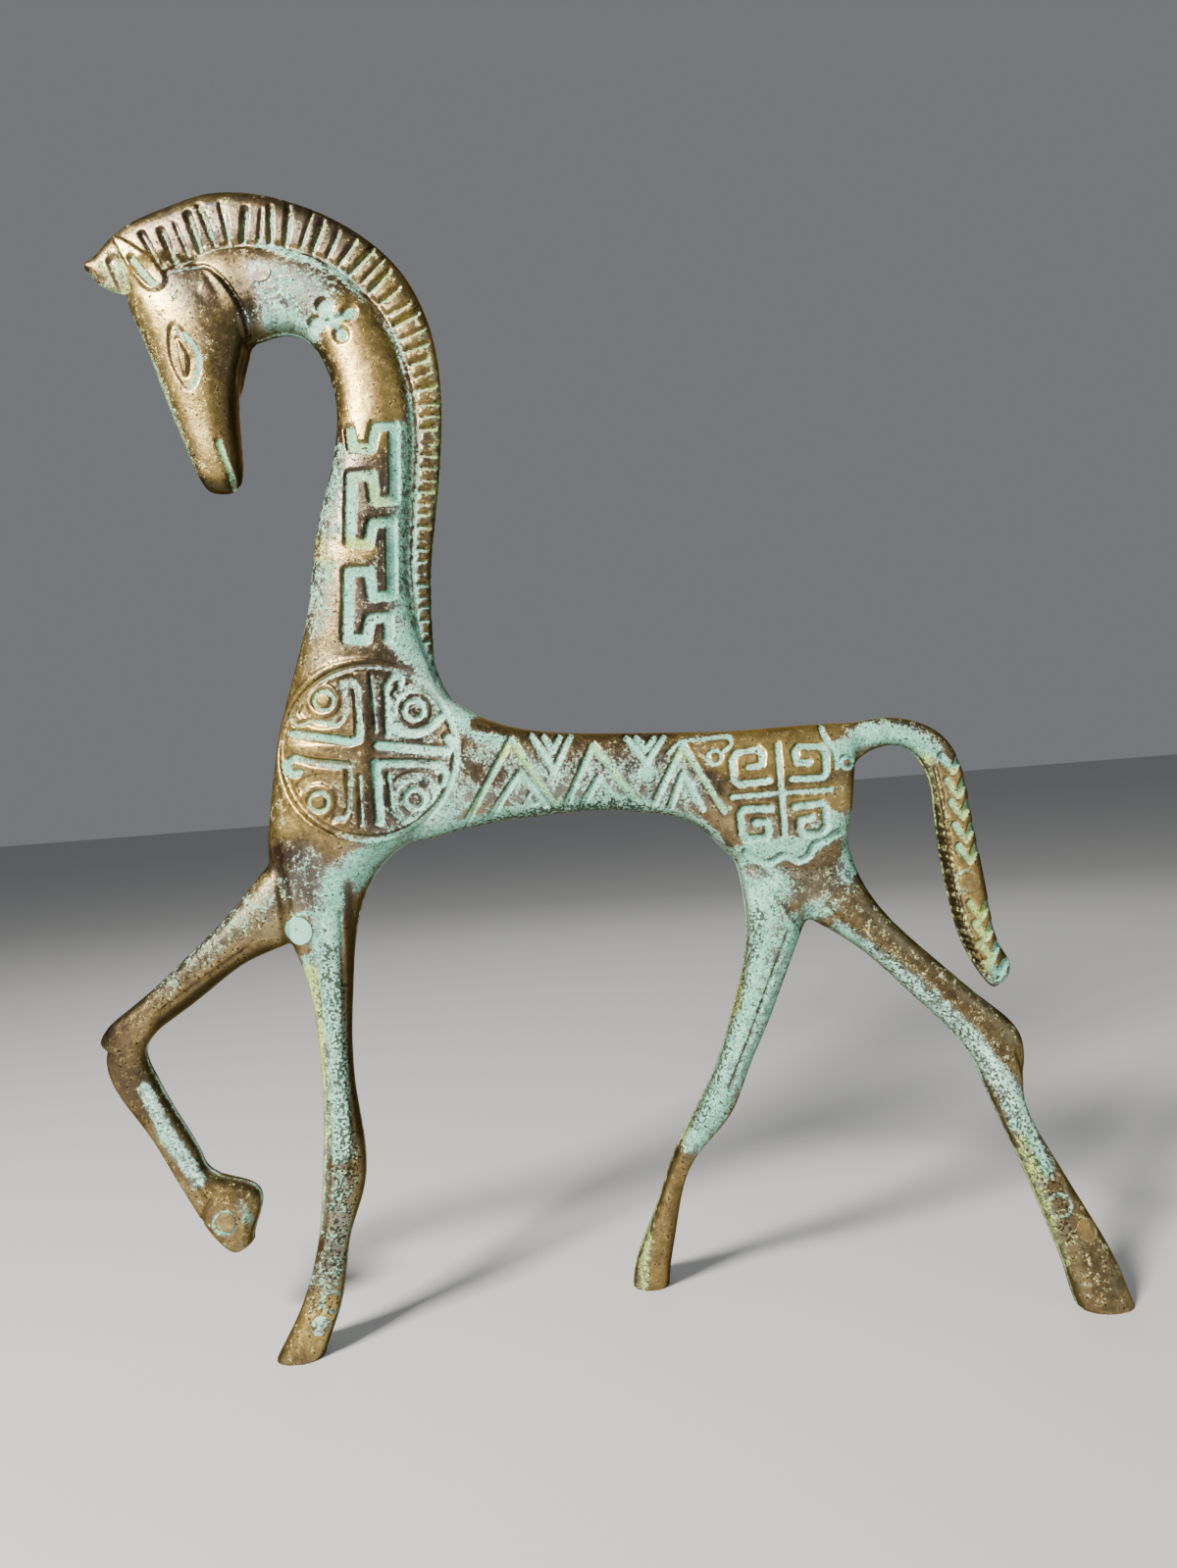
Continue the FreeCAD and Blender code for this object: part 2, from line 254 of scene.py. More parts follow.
def place_points(mesh, co):
    """Writes points in mm back to a mesh."""
    mesh.vertices.foreach_set("co", (co * MM).ravel())
    mesh.update()


def whole_skin():
    """The smoothed skin of the horse with its legs drawn straight, as one mesh."""
    bm = outer_skin()
    mesh = bpy.data.meshes.new("whole_skin")
    bm.to_mesh(mesh)
    bm.free()
    co, edges = mesh_arrays(mesh)
    co = smooth_skin(co, edges)
    co[:, 1] -= splay_at(co[:, 0], co[:, 2])
    place_points(mesh, co)
    return mesh


def half_of(skin, facing):
    """One half of the straightened skin, closed along the seam."""
    bm = bmesh.new()
    bm.from_mesh(skin)
    everything = bm.verts[:] + bm.edges[:] + bm.faces[:]
    bmesh.ops.bisect_plane(bm, geom=everything, plane_co=(0, 0, 0),
                           plane_no=(0, -facing, 0), clear_outer=True)
    rim = [edge for edge in bm.edges if edge.is_boundary]
    bmesh.ops.triangle_fill(bm, edges=rim, use_beauty=False)
    bmesh.ops.recalc_face_normals(bm, faces=bm.faces)
    mesh = bpy.data.meshes.new("half")
    bm.to_mesh(mesh)
    bm.free()
    return mesh


# ---------------------------------------------------------------- relief layout, u and w in mm

CREST = rounded([(-88, 233.5), (-83.9, 235.6), (-79.8, 236.8), (-75.1, 238.4), (-69.8, 239.6),
                 (-63.3, 239.0), (-57.4, 238.1), (-52.1, 236.3), (-48, 233.9), (-43.9, 230.3),
                 (-40.4, 226.2), (-37.4, 221.9), (-35.1, 216), (-33.3, 210), (-32.4, 204.5),
                 (-32.1, 198.4), (-32.4, 192.5), (-33.3, 185.4), (-34.2, 177.8),
                 (-35.1, 170.7), (-35.6, 162), (-35.4, 154), (-34.6, 148), (-32.5, 141.5)])
# Depth of the mane from the crest line to its outer rim, against length along the crest line
MANE_LENGTHS = [0, 12, 34, 48, 60, 75, 90, 110, 140, 155]
MANE_DEPTHS = [13, 12.4, 11.4, 10.6, 9.4, 7.4, 6.2, 5.2, 3.9, 3.0]
MANE_REACH = 14.5           # past the mane's deepest place
# Strand lines of the mane along the crest line: first, last, and gap against length
STRAND_FIRST = 3.8
STRAND_LAST = 152.0
STRAND_GAP_LENGTHS = [0, 40, 75, 95]
STRAND_GAPS = [3.1, 3.0, 2.9, 2.6]
# Running key of the neck: foot of the first key, step to the next one, and one key's corners
KEY_FOOT = (-46.5, 193.9)
KEY_PITCH = (-2.2, -20.9)
KEY_COUNT = 3
KEY_CORNERS = [(0.0, 0.0), (4.0, -0.5), (5.3, 4.1), (9.5, 4.1), (8.5, -12.1), (4.0, -12.1),
               (3.6, -6.4), (-0.9, -6.2)]
KEY_LEAD = (-0.3, 3.6)      # from the first corner up to the line's start
KEY_CUT = 4                 # corners left off the last key
KEY_END = (-0.3, -4.8)      # from the last corner down to the line's end
JAW = rounded([(-84, 235.4), (-79.8, 236.0), (-75.1, 235.6), (-71.9, 232.6), (-69.4, 228.6),
               (-67.8, 224.6), (-67.2, 220.7), (-67.8, 217.2), (-69.2, 213)])
# Which side of the jaw line the head is on
HEAD_SIDE = -1.0
EYE_RIM = rounded([(-83.8, 223.4), (-81.4, 221.4), (-79.0, 218.0), (-78.6, 214.2),
                   (-80.6, 209.6), (-83.0, 212.4), (-84.5, 217.6)], closed=True)
EYE_RIM_GREEN = EYE_RIM[6:26]           # the part of the rim that holds green
EYE_LID = rounded([(-83.2, 220.9), (-80.9, 217.6), (-80.6, 214.4), (-81.6, 211.9),
                   (-83.0, 214.6)], closed=True)
EAR = rounded([(-94.6, 243.4), (-91.0, 241.4), (-87.6, 238.4), (-84.9, 235.0), (-84.9, 232.4),
               (-87.8, 231.9), (-90.4, 234.4), (-92.8, 238.8)], closed=True)
EAR_SLOT = rounded([(-91.2, 238.6), (-90.0, 236.6), (-87.2, 232.8)])
FORELOCK_LINE = [(-95.6, 238.6), (-93.6, 232.6)]
NOSTRIL = rounded([(-75.7, 197.6), (-74.6, 193.6), (-73.4, 189.8), (-72.9, 186.6)])
PETALS = [(-50.2, 225.2), (-44.7, 223.4), (-46.9, 218.6), (-52.2, 221.4)]
PETAL_MIDDLE = (-48.6, 221.9)
CHEST_CREASE = rounded([(-70.4, 107.5), (-69.4, 100.3), (-68.8, 91.5), (-68.9, 86.0)])
THIGH_CREASE = rounded([(28.5, 99.0), (35.8, 93.3), (40.8, 86.7), (44.2, 80.8)])
# Thin lines where the flat front of a leg turns into its sides, and above the raised hoof
LEG_FLUTES = [
    rounded([(50, 85.5), (58.3, 76.7), (66, 69.8), (73, 61.5), (78.5, 53), (83.5, 44), (88.5, 34)]),
    rounded([(-64.2, 84), (-63.2, 72), (-62.6, 58), (-63.4, 42), (-65.4, 26), (-69, 14)]),
    rounded([(-57.0, 92), (-57.6, 74), (-58.4, 60), (-58.0, 44), (-59.6, 34)]),
    rounded([(34.6, 86), (30.4, 72), (25.0, 60), (20.0, 49), (15.4, 40)]),
    rounded([(40.6, 80), (36.0, 70), (30.6, 58), (25.2, 47)]),
    rounded([(-103.6, 58), (-99.4, 48), (-94.2, 38), (-91.4, 32)]),
    rounded([(88.6, 50), (91.6, 38), (96.0, 26), (99.6, 18)]),
    rounded([(-78, 86), (-88, 80), (-98, 73.6)]),
    rounded([(-90.2, 31.4), (-92.0, 28.6), (-93.0, 25.4)]),
]
WAVY = rounded([(32.6, 98.4), (35.2, 96.4), (37.6, 95.6), (41.0, 97.0), (44.0, 95.6),
                (46.4, 96.6), (48.0, 99.0), (50.6, 99.8), (54, 101.4)])
ROUNDEL = (-48.0, 126.8)
ROUNDEL_RADIUS = 18.6
# Sunk channels between the plain bars of the roundel's cross: line, width, green in it
ROUNDEL_CHANNELS = [
    ([(-64.6, 132.2), (-60.0, 131.3), (-52.2, 129.5), (-50.2, 129.9), (-49.8, 132.0)], 2.0, 0.80),
    ([(-49.8, 132.0), (-49.8, 141.0), (-51.0, 143.2), (-52.9, 142.6), (-52.6, 140.6)], 2.0, 0.42),
    ([(-65.0, 135.8), (-63.6, 134.0), (-60.0, 134.7), (-54.6, 133.5), (-53.0, 134.8)], 1.1, 0.40),
    ([(-46.0, 128.3), (-38.0, 127.0), (-31.0, 125.7), (-29.6, 127.0), (-30.6, 128.7)], 2.1, 0.95),
    ([(-43.6, 130.6), (-43.3, 141.0), (-41.8, 143.2), (-39.8, 142.4), (-40.2, 140.4)], 1.7, 0.45),
    ([(-43.2, 132.0), (-40.8, 130.8), (-37.4, 130.2), (-34.2, 131.3), (-31.6, 133.4)], 2.0, 0.95),
    ([(-52.6, 124.2), (-60.0, 125.5), (-64.6, 127.0)], 1.8, 0.36),
    ([(-64.6, 127.0), (-66.6, 125.6), (-65.8, 123.4), (-63.8, 123.5)], 1.8, 0.85),
    ([(-52.8, 123.0), (-53.5, 114.6), (-54.8, 112.8), (-56.6, 113.2)], 1.7, 0.35),
    ([(-46.9, 124.4), (-46.9, 111.4)], 2.1, 0.78),
    ([(-45.4, 124.3), (-37.0, 123.6), (-33.2, 122.9)], 1.8, 0.40),
    ([(-33.2, 122.9), (-31.6, 121.0), (-32.4, 118.6)], 1.8, 0.85),
    ([(-44.2, 121.8), (-43.9, 113.4), (-42.4, 112.0)], 1.1, 0.40),
    ([(-50.6, 122.0), (-50.9, 111.0)], 1.0, 0.30),
    ([(-46.4, 143.8), (-46.2, 131.4)], 0.9, 0.30),
]
# Raised discs in the roundel, each with a sunk ring round its dot
ROUNDEL_DISCS = [(-57.2, 138.9), (-37.5, 135.3), (-60.0, 116.9), (-38.9, 115.8)]
RING_RADIUS = 2.1
# Sunk chevrons on the barrel: foot, apex, foot
CHEVRONS = [
    [(-27.4, 110.6), (-16.8, 127.2), (-8.4, 111.8)], [(-22.4, 110.8), (-15.4, 119.8), (-10.4, 112.2)],
    [(-5.9, 111.6), (1.0, 124.6), (9.4, 111.6)], [(-2.4, 111.4), (1.7, 117.2), (5.4, 111.4)],
    [(13.6, 110.8), (20.6, 122.9), (28.6, 107.8)], [(16.9, 109.6), (20.2, 116.8), (24.0, 108.6)],
    [(-12.2, 127.6), (-7.9, 119.6), (-3.8, 126.8)], [(-9.6, 127.2), (-7.9, 124.0), (-6.2, 126.8)],
    [(8.4, 125.6), (12.4, 119.8), (16.6, 125.2)], [(10.6, 125.4), (12.4, 122.6), (14.4, 125.0)],
]
RINGS = [((-12.8, 113.9), 1.3), ((27.4, 119.8), 1.5), ((56.2, 116.4), 1.3), ((34.0, 63.2), 1.0)]
# Curled ornament of the rump: its upper left and lower left curls, mirrored across its upright
RUMP_MIDDLE = (41.4, 110.9)
RUMP_CURLS = [
    [(-2.6, 2.9), (-9.2, 2.6), (-10.2, 3.8), (-10.3, 8.0), (-9.2, 9.6), (-4.6, 10.0), (-3.6, 8.8),
     (-3.9, 6.4), (-6.6, 6.2)],
    [(-2.6, -3.2), (-8.6, -2.9), (-9.5, -4.2), (-9.4, -8.2), (-8.2, -9.6), (-4.4, -9.6), (-3.4, -8.4),
     (-3.8, -6.2), (-6.2, -6.0)],
]
RUMP_HOOK = rounded([(17.6, 121.6), (20.4, 123.8), (26.0, 124.1), (30.6, 124.0), (31.2, 122.4),
                     (29.4, 120.9)])
HIP_BAND = rounded([(51.2, 124.6), (52.2, 121.4), (53.8, 119.4), (54.2, 115.6)])
TAIL_CREASE_W = [70.5, 80, 92, 104, 113.5]
TAIL_CREASE_U = [82.4, 79.4, 77.6, 76.9, 75.6]
TAIL_CREASE = rounded(list(zip(TAIL_CREASE_U, TAIL_CREASE_W))[::-1])
# Outline round each pin end: middle and radius
PIN_MARKS = [((-62.0, 231.0), 2.2), ((-65.0, 89.4), 3.0), ((12.3, 116.9), 1.6), ((80.4, 88.3), 1.9),
             ((-87.7, 26.2), 2.1), ((-65.4, 7.1), 1.9), ((95.3, 15.7), 2.2)]
# Down-pointing marks of the plaited tail: the corners of one, and the height of each
PLAIT_MARK = [(-1.9, 2.9), (0.3, -0.6), (2.1, 2.6)]
PLAITS = [113.2, 107.9, 103.1, 98.0, 93.2, 80.6, 76.1, 71.6, 67.4]
FILE_MARK_TOP = 100.0       # height of the first file mark on the tail
FILE_MARK_GAP = 1.7
FILE_MARK_COUNT = 18
TAIL_MIDDLE_W = [64, 72, 84, 96, 105, 114, 119]
TAIL_MIDDLE_U = [86.4, 84.2, 82.2, 81.0, 80.2, 79.0, 76.6]


def carve(total, u, w, line, width, depth, wall=0.45):
    """Sinks a flat-bottomed channel along a line, keeping the deeper of two that meet."""
    chosen, distance, along, side = near_line(u, w, np.array(line, float), width)
    sunk = depth * (1.0 - smooth_step(distance, width / 2 - wall, width / 2 + wall * 0.4))
    total[chosen] = np.maximum(total[chosen], sunk)


def ring(middle, radius, points=20):
    """Circle as a closed line."""
    turn = np.linspace(0.0, 2.0 * math.pi, points + 1)
    return np.stack([middle[0] + radius * np.cos(turn), middle[1] + radius * np.sin(turn)], 1)


def strand_places():
    """Place of each strand line of the mane along the crest line."""
    places = []
    place = STRAND_FIRST
    while place < STRAND_LAST:
        gap = float(np.interp(place, STRAND_GAP_LENGTHS, STRAND_GAPS))
        uneven = math.sin(len(places) * 2.4)
        places.append(place)
        place += gap * (1.0 + 0.16 * uneven)
    return places


def mane_relief(u, w):
    """Sunk strand lines of the mane, and the small step along the crest line."""
    sunk = np.zeros(len(u))
    chosen, distance, along, side = near_line(u, w, CREST, MANE_REACH)
    depth = np.interp(along, MANE_LENGTHS, MANE_DEPTHS)
    outward = side > 0
    for number, place in enumerate(strand_places()):
        uneven = math.sin(number * 2.4)
        end = depth * (0.86 + 0.09 * math.sin(number * 5.1))
        lean = (along - place) + 0.06 * distance * math.sin(number * 1.7)
        width = 0.38 + 0.10 * uneven
        line = 1.0 - smooth_step(np.abs(lean), width * 0.4, width * 1.9)
        length = smooth_step(distance, 0.5, 1.2) * (1.0 - smooth_step(distance, end - 1.6, end))
        cut = (0.75 + 0.25 * uneven) * line * length * outward
        sunk[chosen] = np.maximum(sunk[chosen], cut)
    crest = 1.0 - smooth_step(distance, 0.2, 1.5)
    step = 0.55 * crest * outward * smooth_step(along, 5.0, 7.0)
    sunk[chosen] = np.maximum(sunk[chosen], step)
    return sunk


def roundel_relief(sunk, u, w):
    """Ring groove of the roundel and the shallow fields round its dotted discs."""
    radius = np.hypot(u - ROUNDEL[0], w - ROUNDEL[1])
    within = 1.0 - smooth_step(radius, ROUNDEL_RADIUS - 1.2, ROUNDEL_RADIUS - 0.6)
    for middle in ROUNDEL_DISCS:
        away = np.hypot(u - middle[0], w - middle[1])
        field = 0.5 * (smooth_step(away, 3.5, 4.1) - smooth_step(away, 5.6, 6.4)) * within
        np.maximum(sunk, field, out=sunk)
    groove = 0.7 * (1.0 - smooth_step(np.abs(radius - ROUNDEL_RADIUS - 0.4), 0.35, 1.0))
    np.maximum(sunk, groove, out=sunk)


def head_channels(sunk, u, w):
    """Sunk lines of the jaw, eye, ear, nostril, forelock and four-petal mark."""
    carve(sunk, u, w, JAW, 1.2, 0.5, wall=0.5)
    socket = 0.45 * inside(u, w, EYE_RIM) * ~inside(u, w, EYE_LID)
    np.maximum(sunk, socket, out=sunk)
    carve(sunk, u, w, EYE_RIM, 1.1, 0.6)
    carve(sunk, u, w, EYE_LID, 0.8, 0.75)
    carve(sunk, u, w, EAR_SLOT, 1.7, 0.8, wall=0.5)
    carve(sunk, u, w, NOSTRIL, 1.7, 0.8, wall=0.5)
    carve(sunk, u, w, FORELOCK_LINE, 3.0, 0.8, wall=1.0)
    for petal in PETALS:
        carve(sunk, u, w, [PETAL_MIDDLE, petal], 1.2, 0.6)
        carve(sunk, u, w, ring(petal, 0.8), 2.2, 0.9, wall=0.5)


def head_swells(u, w):
    """Height of the raised ear and of the cheek that swells towards the jaw line."""
    cheek = np.zeros(len(u))
    chosen, distance, along, side = near_line(u, w, JAW, 7.0)
    swell = 0.9 * (1.0 - smooth_step(distance, 2.0, 6.5)) * smooth_step(along, 4.0, 13.0)
    cheek[chosen] = np.where(side * HEAD_SIDE > 0, swell, 0.0)
    ear = inside(u, w, EAR)
    chosen, distance, along, side = near_line(u, w, EAR, 3.0)
    rise = np.where(ear, 1.0, 0.0)
    rise[chosen] = np.where(ear[chosen], 1.0, 1.0 - smooth_step(distance, 0.0, 0.5))
    return np.maximum(0.8 * rise, cheek)


def key_pattern():
    """Line of the running key, one key after another down the neck."""
    line = [(KEY_FOOT[0] + KEY_LEAD[0], KEY_FOOT[1] + KEY_LEAD[1])]
    for turn in range(KEY_COUNT):
        foot_u = KEY_FOOT[0] + turn * KEY_PITCH[0]
        foot_w = KEY_FOOT[1] + turn * KEY_PITCH[1]
        line += [(foot_u + du, foot_w + dw) for du, dw in KEY_CORNERS]
    line = line[:-KEY_CUT]
    return line + [(line[-1][0] + KEY_END[0], line[-1][1] + KEY_END[1])]


def file_marks():
    """Short slanting file marks on the inner wall of the tail."""
    marks = []
    for turn in range(FILE_MARK_COUNT):
        height = FILE_MARK_TOP - turn * FILE_MARK_GAP - 0.3 * math.sin(turn * 2.3)
        crease = float(np.interp(height, TAIL_CREASE_W, TAIL_CREASE_U))
        marks.append([(crease - 3.4, height + 0.9), (crease - 0.3, height - 0.5)])
    return marks


def ornament_lines():
    """Every sunk channel of the neck, barrel, rump and tail: line, width, depth, green in it."""
    lines = [(key_pattern(), 2.6, 0.85, 0.85)]
    lines += [(line, 1.5, 0.6, 0.9) for line in CHEVRONS]
    lines += [(line, width, 0.85, green) for line, width, green in ROUNDEL_CHANNELS]
    lines += [(ring(middle, radius), 0.9, 0.5, 0.8) for middle, radius in RINGS]
    lines += [(ring(middle, RING_RADIUS), 1.1, 0.7, 0.95 if middle[0] > -48.0 else 0.58)
              for middle in ROUNDEL_DISCS]
    lines += [(ring(middle, radius + 0.35), 0.6, 0.25, 0.62) for middle, radius in PIN_MARKS]
    for curl in RUMP_CURLS:
        for mirror in (1.0, -1.0):
            line = [(RUMP_MIDDLE[0] + mirror * du, RUMP_MIDDLE[1] + dw) for du, dw in curl]
            lines.append((line, 1.8, 0.75, 0.62))
    lines.append(([(RUMP_MIDDLE[0], 121.4), (RUMP_MIDDLE[0], 101.6)], 1.5, 0.65, 0.6))
    lines.append(([(30.6, RUMP_MIDDLE[1]), (52.4, RUMP_MIDDLE[1])], 1.3, 0.6, 0.6))
    lines += [(RUMP_HOOK, 1.2, 0.55, 0.7), (HIP_BAND, 1.4, 0.5, 0.8), (WAVY, 1.6, 0.6, 0.95)]
    for height in PLAITS:
        middle = float(np.interp(height, TAIL_MIDDLE_W, TAIL_MIDDLE_U))
        mark = [(middle + du, height + dw) for du, dw in PLAIT_MARK]
        lines.append((mark, 1.8, 0.65, 0.8))
    return lines


def body_relief(sunk, u, w):
    """Carved ornament and soft creases of the body, legs and tail."""
    for line, width, depth, green in ornament_lines():
        carve(sunk, u, w, line, width, depth)
    carve(sunk, u, w, CHEST_CREASE, 3.0, 0.7, wall=1.4)
    carve(sunk, u, w, THIGH_CREASE, 2.4, 0.5, wall=1.1)
    carve(sunk, u, w, TAIL_CREASE, 1.2, 0.5, wall=0.5)
    for line in LEG_FLUTES:
        carve(sunk, u, w, line, 1.1, 0.3, wall=0.5)
    for line in file_marks():
        carve(sunk, u, w, line, 0.9, 0.35, wall=0.35)


def relief_height(u, w):
    """Height of the relief above the plain skin and depth of its channels, in mm."""
    sunk = mane_relief(u, w)
    head_channels(sunk, u, w)
    body_relief(sunk, u, w)
    roundel_relief(sunk, u, w)
    return head_swells(u, w) - sunk, sunk


# ---------------------------------------------------------------- patina layout, u and w in mm
# Each stroke: line, reach of the soft brush, value it brings the surface to

# How much green crust lies on the surface
VERDIGRIS = [
    ([(-84, 248), (-62, 251), (-44, 243), (-31, 226), (-27, 205), (-29, 175)], 1.6, 0.45),
    ([(-63, 240), (-46, 232), (-35, 216), (-33, 200), (-34, 180), (-36, 152)], 1.4, 0.62),
    ([(-67, 231), (-60, 230), (-52, 227)], 9, 0.50),
    ([(-67, 224), (-60, 223), (-54, 220)], 4.5, 0.66),
    ([(-44, 220), (-40, 205), (-42, 200)], 9, 0.08),
    ([(-97, 240), (-95, 233)], 4, 0.45),
    ([(-95.5, 231), (-91.2, 221), (-88, 212), (-85.4, 203), (-81.6, 190)], 1.7, 0.85),
    ([(-50, 192), (-52, 182), (-55, 168), (-58, 156)], 5, 0.5),
    ([(-34.8, 196), (-36.5, 180), (-38, 165), (-37, 150)], 4.5, 0.58),
    ([(-45, 190), (-43, 175), (-47, 158)], 5, 0.34),
    ([(-38, 150), (-33, 141), (-27, 133), (-20, 128)], 5, 0.8),
    ([(-42, 141), (-38, 127), (-44, 113)], 10, 0.38),
    ([(-62, 140), (-62, 127), (-60, 113)], 9, 0.16),
    ([(-30, 116), (-40, 106), (-50, 103), (-58, 98), (-60, 86)], 6, 0.72),
    ([(-72, 108), (-70, 96)], 5, 0.2),
    ([(-64, 104), (-64, 92)], 5, 0.42),
    ([(-29, 120), (-10, 116), (8, 116), (20, 115)], 10, 0.52),
    ([(-26, 121), (-21, 119)], 3.5, 0.3),
    ([(-24, 131), (-8, 127.5), (20, 126), (52, 125.5)], 2.4, 0.16),
    ([(-34, 107), (-15, 110.4), (8, 110.6), (22, 105), (29, 97), (32, 88)], 3.4, 0.9),
    ([(34, 119), (42, 117), (50, 118)], 9, 0.1),
    ([(33, 103), (42, 104), (51, 105)], 4, 0.4),
    ([(31, 97), (36, 99), (45, 98), (53, 103)], 3.6, 0.8),
    ([(38, 91), (46, 90), (52, 93)], 6, 0.36),
    ([(46, 84), (52, 86), (56, 96), (56, 104)], 3.5, 0.62),
    ([(55, 119), (62, 122.5), (70, 121), (75, 117)], 4, 0.74),
    ([(80, 112), (81, 95), (84, 73)], 3.4, 0.12),
    ([(74, 112), (75, 98), (77, 85), (80, 72)], 2.4, 0.52),
    ([(-60, 90), (-60.5, 75), (-60, 55), (-61, 40)], 4.4, 0.76),
    ([(-61.6, 34), (-62.6, 24), (-66, 12)], 4.4, 0.50),
    ([(-64.5, 82), (-64, 62), (-65, 42), (-67, 28), (-71, 12)], 2.6, 0.74),
    ([(-55.5, 90), (-56, 70), (-57, 45)], 1.6, 0.1),
    ([(-74, 4), (-70, 1)], 4, 0.24),
    ([(-70, 98), (-84, 90), (-97, 81)], 6, 0.44),
    ([(-76, 84), (-90, 76), (-98, 70)], 3, 0.2),
    ([(-108, 70), (-107, 62)], 6, 0.1),
    ([(-103, 57), (-98.4, 46), (-92.6, 36)], 2.6, 0.82),
    ([(-88, 32), (-84, 26)], 5, 0.22),
    ([(37, 90), (33, 80), (28, 66), (21, 50), (15, 38)], 7.5, 0.78),
    ([(42, 82), (35, 67), (28, 52), (20, 40)], 4, 0.70),
    ([(10, 34), (6, 18), (5, 8)], 6, 0.20),
    ([(52, 88), (64, 79), (78, 67), (90, 57)], 4.5, 0.36),
    ([(52, 79), (66, 67), (78, 54), (86, 42), (92, 24)], 4.0, 0.74),
    ([(92, 50), (95, 32), (102, 14)], 2.6, 0.18),
    ([(94, 18), (99, 5)], 2.6, 0.35),
    ([(88, 27), (91, 16), (94, 3)], 3.6, 0.60),
    ([(8.4, 30), (4.6, 18), (2.6, 5)], 2.2, 0.56),
    ([(-92, 22), (-87, 18.4)], 2.2, 0.62),
    ([(-72, 12), (-75, 4)], 2.2, 0.5),
    ([(-84, 30), (-82, 26)], 2.0, 0.5),
]
# Colour of the crust: 0 mint white, 0.5 turquoise, 1 yellow green
TINT = [
    ([(-97, 240), (-90, 215), (-80, 190)], 12, 0.75),
    ([(-88, 246), (-60, 251), (-36, 235), (-27, 205), (-30, 170)], 5, 0.85),
    ([(-67, 230), (-52, 222)], 9, 0.35),
    ([(-47, 198), (-43, 180)], 7, 0.72),
    ([(-56, 172), (-46, 171)], 5, 1.0),
    ([(-57, 160), (-36, 150), (-28, 130)], 5, 0.35),
    ([(-36, 138), (-34, 115)], 9, 0.12),
    ([(-60, 138), (-62, 115)], 9, 0.62),
    ([(-28, 117), (25, 114)], 12, 0.34),
    ([(-26, 112), (-17, 126), (-8, 112), (1, 124), (10, 112), (20, 122), (28, 108)], 1.6, 0.70),
    ([(35, 118), (50, 104)], 9, 0.3),
    ([(74, 114), (77, 85), (82, 70)], 4, 0.95),
    ([(80, 112), (84, 72)], 3.0, 0.9),
    ([(-64.5, 80), (-64, 62), (-65, 42), (-68, 26), (-73, 8)], 2.6, 0.95),
    ([(-60, 92), (-60, 40)], 2.4, 0.2),
    ([(-102, 56), (-92, 36)], 4, 0.08),
    ([(-107, 56), (-100, 40), (-92, 22), (-84, 18)], 3.0, 0.95),
    ([(33, 84), (26, 64), (17, 44)], 2.4, 0.3),
    ([(29, 76), (27, 66), (20.5, 54), (13.6, 39), (8, 28), (2.5, 5)], 3.2, 1.0),
    ([(60, 74), (80, 52), (92, 28)], 5, 0.2),
    ([(87, 30), (91, 16), (96, 3)], 5, 0.98),
]
# Metal under the patina: 0 purple brown, 0.5 brown bronze, 1 bright copper gold
WARMTH = [
    ([(-92, 236), (-86, 222), (-80, 205), (-77, 194)], 9, 0.85),
    ([(-82, 233), (-76, 230)], 6, 0.25),
    ([(-86, 244), (-60, 246), (-46, 240)], 6, 0.25),
    ([(-36, 232), (-29, 214), (-28, 200)], 5, 0.7),
    ([(-64, 231), (-54, 230)], 7, 0.2),
    ([(-46, 221), (-41, 210), (-42, 200)], 9, 0.85),
    ([(-52, 190), (-44, 185), (-40, 165), (-46, 152)], 9, 0.18),
    ([(-57, 172), (-45, 171)], 3, 0.95),
    ([(-60, 158), (-66, 142), (-68, 126), (-68, 112)], 5, 0.85),
    ([(-60, 140), (-64, 118)], 6, 0.7),
    ([(-44, 141), (-40, 126), (-45, 112)], 10, 0.16),
    ([(-66, 104), (-60, 96)], 8, 0.15),
    ([(-74, 100), (-78, 92)], 4, 0.6),
    ([(-24, 120), (24, 115)], 8, 0.25),
    ([(-20, 130), (15, 126)], 3, 0.45),
    ([(24, 123), (42, 119), (54, 121)], 8, 0.95),
    ([(46, 108), (54, 108)], 6, 0.85),
    ([(42, 92), (52, 92)], 7, 0.35),
    ([(79, 112), (80, 95), (84, 72)], 4, 0.78),
    ([(-108, 72), (-107, 62), (-104, 54)], 6, 0.30),
    ([(-90, 32), (-83, 24)], 8, 0.50),
    ([(-76, 3), (-68, 3)], 9, 0.85),
    ([(9, 32), (4, 8)], 8, 0.55),
    ([(91, 52), (93, 35), (102, 8)], 5, 0.50),
    ([(62, 80), (84, 62)], 5, 0.45),
]
